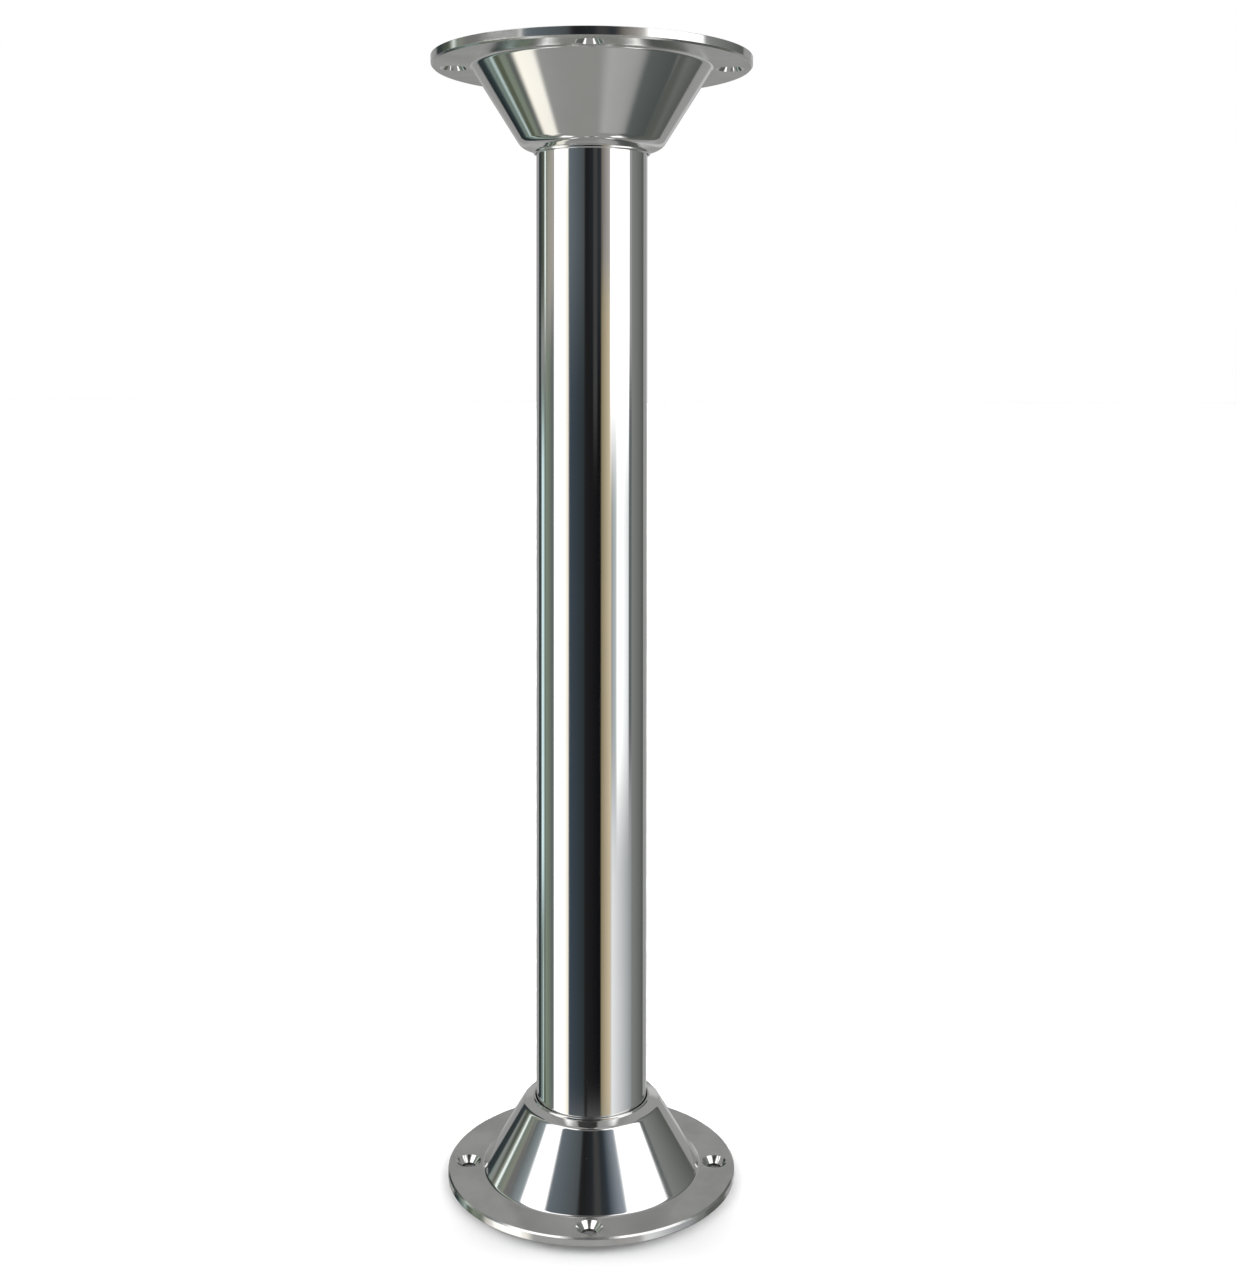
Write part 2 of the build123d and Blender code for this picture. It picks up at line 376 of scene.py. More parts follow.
MIRROR_STEEL = Finish(
    "mirror_steel", "post_steel", (0.87, 0.87, 0.865), (0.84, 0.84, 0.835), 1.0, 0.045, 0.085,
    Effect.LENGTHWISE, 0.45 * MM, 0.0016 * MM, haze_size=0.09, speck_amount=0.02)
POLISHED_CASTING = Finish(
    "polished_casting", "socket_steel", (0.86, 0.86, 0.85), (0.82, 0.82, 0.81), 1.0, 0.07, 0.11,
    Effect.TURNED, 0.8 * MM, 0.0008 * MM, haze_size=0.04, speck_amount=0.01)
SATIN_FACE = Finish(
    "satin_turned_face", "socket_steel", (0.8, 0.8, 0.785), (0.68, 0.68, 0.665), 1.0, 0.14, 0.22,
    Effect.TURNED, 0.5 * MM, 0.0012 * MM, haze_size=0.03, speck_amount=0.02, worn_radius=FLANGE_RADIUS)
TURNED_RIM = Finish(
    "turned_rim", "socket_steel", (0.84, 0.84, 0.825), (0.79, 0.79, 0.775), 1.0, 0.11, 0.17,
    Effect.TURNED, 0.4 * MM, 0.002 * MM, haze_size=0.02, speck_amount=0.01, worn_radius=FLANGE_RADIUS)
# Walls of the screw holes: the steel's colour is darkened to paint in the shade that falls deep inside the
# holes.
BORE_PAINTED_SHADE = Finish(
    "bore_painted_shade", "socket_steel", (0.12, 0.12, 0.115), (0.08, 0.08, 0.075), 1.0, 0.35, 0.5,
    Effect.TURNED, 0.5 * MM, 0.01 * MM, haze_size=0.01)
CAST_SKIN = Finish(
    "cast_skin", "socket_steel", (0.46, 0.46, 0.45), (0.36, 0.36, 0.35), 0.95, 0.42, 0.58,
    Effect.CAST, 1.1 * MM, 0.12 * MM, haze_size=0.02)
ACETAL = Finish(
    "natural_acetal", "bush_plastic", (0.62, 0.61, 0.57), (0.56, 0.55, 0.51), 0.0, 0.36, 0.46,
    Effect.TURNED, 0.6 * MM, 0.01 * MM, haze_size=0.02)
BLACK_NYLON = Finish(
    "black_nylon", "washer_plastic", (0.035, 0.035, 0.038), (0.055, 0.055, 0.058), 0.0, 0.42, 0.55,
    Effect.TURNED, 0.4 * MM, 0.01 * MM, haze_size=0.015)
SPRING_STEEL = Finish(
    "phosphated_spring_steel", "ring_steel", (0.13, 0.13, 0.135), (0.2, 0.2, 0.2), 0.85, 0.34, 0.5,
    Effect.CAST, 0.5 * MM, 0.01 * MM, haze_size=0.012)
NITRILE = Finish(
    "nitrile_rubber", "seal_rubber", (0.022, 0.022, 0.023), (0.04, 0.04, 0.04), 0.0, 0.5, 0.64,
    Effect.CAST, 0.3 * MM, 0.012 * MM, haze_size=0.01)
TURNED_ALUMINIUM = Finish(
    "turned_aluminium", "plug_metal", (0.78, 0.785, 0.79), (0.7, 0.705, 0.71), 1.0, 0.22, 0.32,
    Effect.TURNED, 0.35 * MM, 0.008 * MM, haze_size=0.02)
PLAIN_SCREW = Finish(
    "stainless_screw", "screw_steel", (0.66, 0.66, 0.65), (0.56, 0.56, 0.55), 1.0, 0.24, 0.36,
    Effect.CAST, 0.4 * MM, 0.006 * MM, haze_size=0.008)


# --- Shaping -----------------------------------------------------------------

@dataclass(frozen=True)
class Corner:
    """One corner of an outline, by its radius and height, and how far it is rounded."""

    radius: float
    height: float
    rounding: float = 0.0


def towards(start: Corner, end: Corner) -> tuple[Vector, float]:
    """Direction and distance from one corner to another."""
    step = Vector((end.radius - start.radius, end.height - start.height))
    return step.normalized(), step.length


def rounded(outline: Sequence[Corner], arc_step: float = radians(8),
            support: float = 0.2 * MM) -> list[Vector]:
    """Points of a closed outline with its corners rounded.

    Args:
        outline: the corners in order.
        arc_step: the most that an arc turns between two points.
        support: how far a straight stretch runs on before its next ring, so that it shades flat.

    Returns:
        Radius and height of each ring.
    """
    rings: list[Vector] = []
    for index, corner in enumerate(outline):
        here = Vector((corner.radius, corner.height))
        if not corner.rounding:
            rings.append(here)
            continue
        back, room_back = towards(corner, outline[index - 1])
        ahead, room_ahead = towards(corner, outline[(index + 1) % len(outline)])
        turn = pi - back.angle(ahead)
        reach = corner.rounding * tan(turn / 2)
        centre = here + (back + ahead).normalized() * corner.rounding / cos(turn / 2)
        first = here + back * reach - centre
        last = here + ahead * reach - centre
        sweep = (atan2(last.y, last.x) - atan2(first.y, first.x) + pi) % (2 * pi) - pi
        steps = ceil(abs(sweep) / arc_step)
        if room_back > 2 * (reach + support):
            rings.append(here + back * (reach + support))
        for step in range(steps + 1):
            angle = atan2(first.y, first.x) + sweep * step / steps
            rings.append(centre + corner.rounding * Vector((cos(angle), sin(angle))))
        if room_ahead > 2 * (reach + support):
            rings.append(here + ahead * (reach + support))
    return rings


class Workshop:
    """Edit-mode work on pieces: turning, cutting, placing and finishing."""

    @staticmethod
    def pick(piece: Object) -> None:
        """Selects one piece alone and makes it active."""
        bpy.ops.object.select_all(action="DESELECT")
        piece.select_set(True)
        bpy.context.view_layer.objects.active = piece

    @staticmethod
    def turn(name: str, outline: Sequence[Corner], sides: int = FINE_SIDES,
             solid: bool = False) -> Object:
        """Turns an outline about Z, ring by ring.

        Args:
            name: the piece's name.
            outline: its corners, anticlockwise, with radius to the right and height up.
            sides: how many faces go round it.
            solid: closes flat ends across the axis instead of running the outline back to its start.

        Returns:
            The new piece.
        """
        rings = rounded(outline)
        if not solid:
            rings.append(rings[0])
        bpy.ops.object.select_all(action="DESELECT")
        bpy.ops.mesh.primitive_circle_add(vertices=sides, radius=rings[0].x, fill_type="NOTHING")
        piece = bpy.context.object
        piece.name = name
        bpy.ops.object.mode_set(mode="EDIT")
        bpy.ops.mesh.select_all(action="SELECT")
        bpy.ops.transform.translate(value=(0, 0, rings[0].y))
        for last, here in zip(rings, rings[1:]):
            bpy.ops.mesh.extrude_region_move(TRANSFORM_OT_translate={"value": (0, 0, here.y - last.y)})
            growth = here.x / last.x
            bpy.ops.transform.resize(value=(growth, growth, 1), center_override=(0, 0, here.y))
        bpy.ops.mesh.select_all(action="SELECT")
        if solid:
            bpy.ops.mesh.fill_holes(sides=0)
        bpy.ops.mesh.remove_doubles(threshold=MERGE_DISTANCE)
        bpy.ops.mesh.normals_make_consistent(inside=False)
        bpy.ops.object.mode_set(mode="OBJECT")
        return piece

    @classmethod
    def block(cls, name: str, low: Vector, high: Vector) -> Object:
        """Box between two corners, for cutting with."""
        bpy.ops.object.select_all(action="DESELECT")
        bpy.ops.mesh.primitive_cube_add(size=1, location=(low + high) / 2)
        piece = bpy.context.object
        piece.name = name
        piece.scale = high - low
        cls.settle(piece)
        return piece

    @classmethod
    def settle(cls, piece: Object) -> None:
        """Puts a piece's place, turn and scale into its mesh."""
        cls.pick(piece)
        bpy.ops.object.transform_apply(location=True, rotation=True, scale=True)

    @classmethod
    def copies_round(cls, piece: Object, count: int, start: float = 0.0) -> list[Object]:
        """Copies of a piece set round the axis, the piece itself among them.

        Args:
            piece: the piece, in place on the +X side.
            count: how many there are in all.
            start: angle of the first, in radians.

        Returns:
            The pieces, each with its own mesh.
        """
        made = []
        for index in range(count):
            each = piece
            if index < count - 1:
                each = piece.copy()
                each.data = piece.data.copy()
                bpy.context.collection.objects.link(each)
            each.rotation_euler = (0, 0, start + index * 2 * pi / count)
            cls.settle(each)
            made.append(each)
        return made

    @classmethod
    def apply(cls, piece: Object, kind: str, **settings: object) -> None:
        """Adds a modifier of a kind to a piece, with its attributes set, and applies it."""
        cls.pick(piece)
        modifier = piece.modifiers.new(kind.lower(), kind)
        for name, value in settings.items():
            setattr(modifier, name, value)
        bpy.ops.object.modifier_apply(modifier=modifier.name)

    @classmethod
    def cut(cls, piece: Object, tools: Iterable[Object]) -> None:
        """Cuts tools out of a piece one by one, and removes them."""
        for tool in tools:
            cls.apply(piece, "BOOLEAN", operation="DIFFERENCE", solver="EXACT", object=tool)
            bpy.data.objects.remove(tool)

    @classmethod
    def join(cls, name: str, pieces: Sequence[Object]) -> Object:
        """Joins several pieces into one object."""
        bpy.ops.object.select_all(action="DESELECT")
        for piece in pieces:
            piece.select_set(True)
        bpy.context.view_layer.objects.active = pieces[0]
        bpy.ops.object.join()
        pieces[0].name = name
        return pieces[0]

    @classmethod
    def turn_over(cls, piece: Object, height: float) -> None:
        """Turns a piece upside down, so that what was at height 0 lies at the height given."""
        piece.rotation_euler = (pi, 0, 0)
        piece.location = (0, 0, height)
        cls.settle(piece)

    @classmethod
    def smooth(cls, piece: Object) -> None:
        """Shades a piece smooth up to its sharp edges, with large faces kept flat."""
        cls.pick(piece)
        bpy.ops.object.shade_smooth_by_angle(angle=SMOOTH_ANGLE)
        cls.apply(piece, "WEIGHTED_NORMAL", mode="FACE_AREA", weight=100, keep_sharp=True)


FaceTest = Callable[[Vector, Vector], bool]


def dress(piece: Object, finish: Finish, others: Sequence[tuple[Finish, FaceTest]] = ()) -> None:
    """Gives a piece its finish, and other finishes where a test on a face holds.

    Args:
        piece: the piece.
        finish: what it has by default.
        others: finishes, each with a test on a face's centre and normal. The last that holds counts.
    """
    slots = [finish] + [each for each, _ in others]
    piece.data.materials.clear()
    for each in slots:
        piece.data.materials.append(each.material())
    for face in piece.data.polygons:
        face.material_index = 0
        for index, (_, test) in enumerate(others, start=1):
            if test(face.center, face.normal):
                face.material_index = index


def enter(piece: Object, node: str, body: str) -> None:
    """Places a finished piece in the frame, in place of a node, riding on a body."""
    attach(piece, body)
    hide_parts(node)
    log.info("%s: %d faces, rides on %s", piece.name, len(piece.data.polygons), body)


# --- Sub-assemblies ----------------------------------------------------------

@dataclass
class ScrewHoles:
    """Countersunk holes round a flange, from the record's bolt pattern."""

    count: int
    circle_radius: float
    hole_radius: float
    sink_radius: float = 8.25 * MM
    rim_rise: float = 0.12 * MM
    rim_spread: float = 0.5 * MM

    @classmethod
    def from_record(cls, mount_name: str) -> "ScrewHoles":
        """Reads the pattern of one mount."""
        mount = next(each for each in frame["record"]["mounts"] if each["name"] == mount_name)
        dims = mount["dims"]
        return cls(dims["count"], dims["pcd_mm"] / 2 * MM, dims["hole_r_mm"] * MM)

    def tools(self, thickness: float) -> list[Object]:
        """Cutters for the holes, through a flange of a thickness that is countersunk on top."""
        sink_foot = thickness - (self.sink_radius - self.hole_radius)
        tool = Workshop.turn("hole_tool", [
            Corner(self.hole_radius + self.rim_spread, -self.rim_rise),
            Corner(self.hole_radius, self.rim_rise),
            Corner(self.hole_radius, sink_foot),
            Corner(self.sink_radius - self.rim_rise, thickness - self.rim_rise),
            Corner(self.sink_radius + self.rim_spread, thickness + self.rim_rise),
            Corner(self.sink_radius + self.rim_spread, thickness + MM),
        ], sides=MEDIUM_SIDES, solid=True)
        tool.location = (self.circle_radius, 0, 0)
        Workshop.settle(tool)
        return Workshop.copies_round(tool, self.count)


@dataclass
class Socket:
    """Cast socket with its bush, O-ring, retaining ring and thrust washer.

    It is shaped with its mounting face at height 0 and its mouth upwards, then placed.
    """

    prefix: str
    body: str
    bearing_body: str
    turned_over: bool
    bore_radius: float
    collar_width: float
    mouth_rounding: float
    flange_thickness: float = 5.5 * MM
    flange_ledge: float = 23.2 * MM
    foot_fillet: float = 2.5 * MM
    edge_chamfer: float = 1.0 * MM
    edge_break: float = 0.3 * MM
    mouth_slope: float = radians(19.5)
    lip_width: float = 1.3 * MM
    lip_height: float = 1.4 * MM
    lip_rounding: float = 0.6 * MM
    wall: float = 6.0 * MM
    boss_wall: float = 5.0 * MM
    bush_wall: float = 3.4 * MM
    bush_floor: float = 4.0 * MM
    rib_count: int = 8
    rib_thickness: float = 5.0 * MM
    pocket_fillet: float = 1.4 * MM
    pocket_roof: float = 3.0 * MM
    groove_depth: float = 1.85 * MM
    groove_height: float = 2.6 * MM
    washer_hole: float = 22.0 * MM
    bush_hole: float = 20.0 * MM
    slit_width: float = 2.0 * MM
    slit_angle: float = radians(45)
    upright: float = 0.3
    holes: ScrewHoles = field(default_factory=lambda: ScrewHoles.from_record("base_screws"))

    def node(self, piece: str) -> str:
        """Name of one of this socket's nodes."""
        return f"{self.prefix}_{piece}"

    def span(self, piece: str) -> tuple[float, float]:
        """Heights of a node above the mounting face, whichever way up the socket is."""
        low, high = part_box(self.node(piece))
        if self.turned_over:
            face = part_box(self.node("socket"))[1].z
            return face - high.z, face - low.z
        return low.z, high.z

    @property
    def height(self) -> float:
        """Height of the socket, from its mounting face to its lip."""
        return self.span("socket")[1]

    @property
    def cone_foot(self) -> float:
        """Radius where the cone meets the flange."""
        return FLANGE_RADIUS - self.flange_ledge

    @property
    def mouth_corner(self) -> Corner:
        """Corner between the cone and the mouth's face."""
        drop = (self.collar_width - self.lip_width) * tan(self.mouth_slope)
        height = self.height - self.lip_height - drop
        return Corner(self.bore_radius + self.collar_width, height, self.mouth_rounding)

    @property
    def bush_radius(self) -> float:
        """Outside radius of the bush."""
        return self.bore_radius + self.bush_wall

    def outline(self) -> list[Corner]:
        """Outline of the casting, with the seat of the bush and the retaining ring's groove."""
        bush_foot, bush_head = self.span("bush")
        groove = self.bush_radius + self.groove_depth
        lip = self.bore_radius + self.lip_width
        return [
            Corner(self.bush_radius, 0, self.edge_break),
            Corner(FLANGE_RADIUS, 0, self.edge_break),
            Corner(FLANGE_RADIUS, self.flange_thickness - self.edge_chamfer, self.edge_break / 2),
            Corner(FLANGE_RADIUS - self.edge_chamfer, self.flange_thickness, self.edge_break / 2),
            Corner(self.cone_foot, self.flange_thickness, self.foot_fillet),
            self.mouth_corner,
            Corner(lip, self.height - self.lip_height, self.edge_break),
            Corner(lip, self.height, self.lip_rounding),
            Corner(self.bore_radius, self.height, self.lip_rounding),
            Corner(self.bore_radius, bush_head),
            Corner(self.bush_radius, bush_head),
            Corner(self.bush_radius, bush_foot),
            Corner(groove, bush_foot),
            Corner(groove, bush_foot - self.groove_height),
            Corner(self.bush_radius, bush_foot - self.groove_height),
        ]

    def pocket_tools(self) -> list[Object]:
        """Cutters for the ring of cast pockets under the cone, parted by ribs."""
        corner = self.mouth_corner
        lean = (self.cone_foot - corner.radius) / (corner.height - self.flange_thickness)
        floor = self.cone_foot + lean * self.flange_thickness - self.wall * hypot(1, lean)
        boss = self.bush_radius + self.boss_wall
        roof = (floor - boss - self.pocket_roof) / lean
        below = 2 * MM
        hollow = Workshop.turn("pocket_tool", [
            Corner(boss, -below), Corner(floor + lean * below, -below),
            Corner(boss + self.pocket_roof, roof), Corner(boss, roof)], sides=MEDIUM_SIDES)
        rib = Workshop.block(
            "rib_tool", Vector((0, -self.rib_thickness / 2, -2 * below)),
            Vector((FLANGE_RADIUS, self.rib_thickness / 2, self.height)))
        Workshop.cut(hollow, Workshop.copies_round(rib, self.rib_count, start=pi / self.rib_count))
        Workshop.apply(hollow, "BEVEL", width=self.pocket_fillet, segments=4, limit_method="ANGLE",
                       angle_limit=radians(35))
        return [hollow]

    def build_casting(self) -> None:
        """Shapes and dresses the casting."""
        piece = Workshop.turn(f"{self.prefix}_socket_casting", self.outline())
        Workshop.cut(piece, self.pocket_tools() + self.holes.tools(self.flange_thickness))
        top = self.flange_thickness
        turned_inside = self.bush_radius + self.groove_depth + 0.5 * MM
        self.finish(piece, "socket", self.body, CAST_SKIN, (
            (SATIN_FACE, lambda at, _: at.z < self.edge_break),
            (SATIN_FACE, lambda at, way: hypot(at.x, at.y) > self.cone_foot and at.z > 0.0 and way.z > -0.5),
            (SATIN_FACE, lambda at, _: hypot(at.x, at.y) < turned_inside),
            (POLISHED_CASTING, lambda at, way: at.z > top + 0.2 * MM and way.z > 0.1
             and hypot(at.x, at.y) > self.bore_radius + 0.1 * MM),
            (TURNED_RIM, lambda at, way: hypot(at.x, at.y) > FLANGE_RADIUS - 0.02 * MM
             and abs(way.z) < self.upright),
            (POLISHED_CASTING, lambda at, way: self.in_a_hole(at, way) and abs(way.z) > self.upright),
            # the upright walls of the screw holes get the bore's painted shade
            (BORE_PAINTED_SHADE, lambda at, way: self.in_a_hole(at, way) and abs(way.z) < self.upright),
        ))

    def in_a_hole(self, at: Vector, way: Vector) -> bool:
        """Whether a face lies on the wall or the countersink of a screw hole."""
        off_circle = abs(hypot(at.x, at.y) - self.holes.circle_radius)
        return off_circle < self.holes.sink_radius and at.z <= self.flange_thickness and abs(way.z) < 0.95

    def build_bush(self) -> None:
        """Shapes and dresses the bush, with the slit down its side."""
        foot, head = self.span("bush")
        floor = foot + self.bush_floor
        piece = Workshop.turn(f"{self.prefix}_bush_sleeve", [
            Corner(self.bush_hole, foot, self.edge_break), Corner(self.bush_radius, foot, self.edge_break),
            Corner(self.bush_radius, head, self.edge_break), Corner(self.bore_radius, head, self.edge_break),
            Corner(self.bore_radius, floor, self.edge_break), Corner(self.bush_hole, floor, self.edge_break),
        ], sides=MEDIUM_SIDES)
        slit = Workshop.block(
            "slit_tool", Vector((self.washer_hole, -self.slit_width / 2, floor)),
            Vector((2 * self.bush_radius, self.slit_width / 2, head + MM)))
        slit.rotation_euler = (0, 0, self.slit_angle)
        Workshop.settle(slit)
        Workshop.cut(piece, [slit])
        self.finish(piece, "bush", self.body, ACETAL)

    def build_washer(self) -> None:
        """Shapes and dresses the thrust washer."""
        foot, head = self.span("thrust_washer")
        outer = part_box(self.node("thrust_washer"))[1].x
        piece = Workshop.turn(f"{self.prefix}_washer", [
            Corner(self.washer_hole, foot, self.edge_break), Corner(outer, foot, self.edge_break),
            Corner(outer, head, self.edge_break), Corner(self.washer_hole, head, self.edge_break),
        ], sides=MEDIUM_SIDES)
        self.finish(piece, "thrust_washer", self.bearing_body, BLACK_NYLON)

    def build_o_ring(self) -> None:
        """Shapes and dresses the O-ring."""
        foot, head = self.span("o_ring")
        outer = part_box(self.node("o_ring"))[1].x
        section = (head - foot) / 2
        middle = (foot + head) / 2
        corners = [
            Corner(outer - section + section * cos(angle), middle + section * sin(angle))
            for angle in (2 * pi * step / SEAL_STEPS - pi for step in range(SEAL_STEPS))]
        piece = Workshop.turn(f"{self.prefix}_seal", corners, sides=MEDIUM_SIDES)
        self.finish(piece, "o_ring", self.body, NITRILE)

    def finish(self, piece: Object, node: str, body: str, finish: Finish,
               others: Sequence[tuple[Finish, FaceTest]] = ()) -> None:
        """Dresses and smooths a piece, sets it the right way up and enters it in the frame."""
        dress(piece, finish, others)
        Workshop.smooth(piece)
        if self.turned_over:
            Workshop.turn_over(piece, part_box(self.node("socket"))[1].z)
        enter(piece, self.node(node), body)

    def build(self) -> None:
        """Builds every piece of the socket. The retaining ring keeps its node's own shape."""
        self.build_casting()
        self.build_bush()
        self.build_washer()
        self.build_o_ring()
        ring = frame["nodes"][self.node("retaining_ring")]
        dress(ring, SPRING_STEEL)
        log.info("%s keeps its own shape", ring.name)


@dataclass
class Post:
    """Tapered tube, closed at each end by a plug that three screws hold."""

    body: str = "post"
    wall: float = 3.0 * MM
    foot_radius: float = 36.2 * MM
    head_radius: float = 32.6 * MM
    edge_rounding: float = 0.35 * MM
    plug_setback: float = 0.4 * MM
    plug_chamfer: float = 1.0 * MM
    plug_wall: float = 4.5 * MM
    plug_fit: float = 0.05 * MM
    vent_radius: float = 4.0 * MM
    plug_flange: float = 4.0 * MM
    screw_count: int = 3
    screw_offset: float = 11.0 * MM
    screw_head: float = 4.6 * MM
    screw_shank: float = 2.5 * MM
    screw_length: float = 8.5 * MM
    screw_setback: float = 0.25 * MM
    screw_fit: float = 0.05 * MM
    key_radius: float = 1.5 * MM
    key_depth: float = 1.6 * MM

    @property
    def span(self) -> tuple[float, float]:
        """Heights of the tube's two ends."""
        low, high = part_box("post_tube")
        return low.z, high.z

    def radius(self, height: float) -> float:
        """Outside radius of the tube at a height."""
        foot, head = self.span
        share = (height - foot) / (head - foot)
        return self.foot_radius + (self.head_radius - self.foot_radius) * share

    def build_tube(self) -> None:
        """Shapes and dresses the tube, with its screws' countersinks."""
        foot, head = self.span
        piece = Workshop.turn("post_polished_tube", [
            Corner(self.foot_radius - self.wall, foot, self.edge_rounding),
            Corner(self.foot_radius, foot, self.edge_rounding),
            Corner(self.head_radius, head, self.edge_rounding),
            Corner(self.head_radius - self.wall, head, self.edge_rounding)])
        for height in (foot + self.screw_offset, head - self.screw_offset):
            Workshop.cut(piece, self.round_the_post(self.countersink_tool(), height))
        self.finish(piece, "post_tube", MIRROR_STEEL)

    def countersink_tool(self) -> Object:
        """Cutter for one screw's hole, pointing up, with the tube's surface at height 0."""
        head, shank = self.screw_head + self.screw_fit, self.screw_shank + self.screw_fit
        seat = -self.screw_setback
        return Workshop.turn("screw_hole_tool", [
            Corner(shank, -self.screw_length), Corner(shank, seat - head + shank),
            Corner(head, seat), Corner(head, MM)], sides=SMALL_SIDES, solid=True)

    def round_the_post(self, piece: Object, height: float) -> list[Object]:
        """Copies of a piece that points up, set radially into the tube at a height."""
        piece.rotation_euler = (0, pi / 2, 0)
        piece.location = (self.radius(height), 0, height)
        Workshop.settle(piece)
        return Workshop.copies_round(piece, self.screw_count, start=pi / 2)

    def build_plug(self, node: str, upper: bool) -> None:
        """Shapes and dresses one end plug.

        Args:
            node: the node that it stands for.
            upper: True for the plug at the head of the post.
        """
        low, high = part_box(node)
        outer, tip = (high.z, low.z) if upper else (low.z, high.z)
        inward = -1 if upper else 1
        seat = outer + inward * self.plug_flange
        rim = high.x
        inset = self.wall + self.plug_fit
        root, end = self.radius(seat) - inset, self.radius(tip) - inset
        corners = [
            Corner(self.vent_radius, outer, self.edge_rounding), Corner(rim - self.plug_chamfer, outer),
            Corner(rim, outer + inward * self.plug_chamfer), Corner(rim, seat), Corner(root, seat),
            Corner(end, tip, self.edge_rounding), Corner(end - self.plug_wall, tip, self.edge_rounding),
            Corner(end - self.plug_wall, seat), Corner(self.vent_radius, seat)]
        piece = Workshop.turn(f"{node}_cup", corners, sides=MEDIUM_SIDES)
        self.finish(piece, node, TURNED_ALUMINIUM)

    def build_screws(self, node: str, height: float) -> None:
        """Shapes and dresses the screws of one plug.

        Args:
            node: the node that they stand for.
            height: where they enter the post.
        """
        seat = -self.screw_setback
        screw = Workshop.turn("screw", [
            Corner(self.screw_shank, seat - self.screw_length, self.edge_rounding),
            Corner(self.screw_shank, seat - self.screw_head + self.screw_shank),
            Corner(self.screw_head, seat),
        ], sides=SMALL_SIDES, solid=True)
        key = Workshop.turn("key_tool", [
            Corner(self.key_radius, seat - self.key_depth), Corner(self.key_radius, MM),
        ], sides=6, solid=True)
        Workshop.cut(screw, [key])
        piece = Workshop.join(f"{node}_set", self.round_the_post(screw, height))
        self.finish(piece, node, PLAIN_SCREW)

    def finish(self, piece: Object, node: str, finish: Finish) -> None:
        """Dresses and smooths a piece and enters it in the frame."""
        dress(piece, finish)
        Workshop.smooth(piece)
        enter(piece, node, self.body)

    def build(self) -> None:
        """Builds every piece of the post."""
        foot, head = self.span
        self.build_tube()
        self.build_plug("lower_end_plug", upper=False)
        self.build_plug("upper_end_plug", upper=True)
        self.build_screws("lower_plug_screws", foot + self.screw_offset)
        self.build_screws("upper_plug_screws", head - self.screw_offset)


# --- Studio ------------------------------------------------------------------

def tone(red: int, green: Optional[int] = None, blue: Optional[int] = None) -> Colour:
    """Light of a card, from how bright it looks in polished metal on a scale of 255.

    Args:
        red: brightness in red, or in all three.
        green: brightness in green.
        blue: brightness in blue.

    Returns:
        The card's light, linear, with the metal's loss made good.
    """
    shades = (red, red if green is None else green, red if blue is None else blue)
    return tuple((each / SCREEN_WHITE) ** SCREEN_GAMMA / MIRROR_STEEL.colour[0] for each in shades)


WHITE = (1.6, 1.6, 1.6)


@dataclass(frozen=True)
class Card:
    """One card, flag or wall of the studio, as the patch of sky that it covers.

    Azimuths are in degrees from the camera's side, positive towards +X. Elevations are in degrees
    above the horizon. The light runs from one colour at the left edge to another at the right, or is
    the same all over where only one is given.
    """

    name: str
    azimuth: tuple[float, float]
    elevation: tuple[float, float]
    left: Colour
    right: Optional[Colour] = None
    side_softness: float = 2.0
    end_softness: float = 4.0


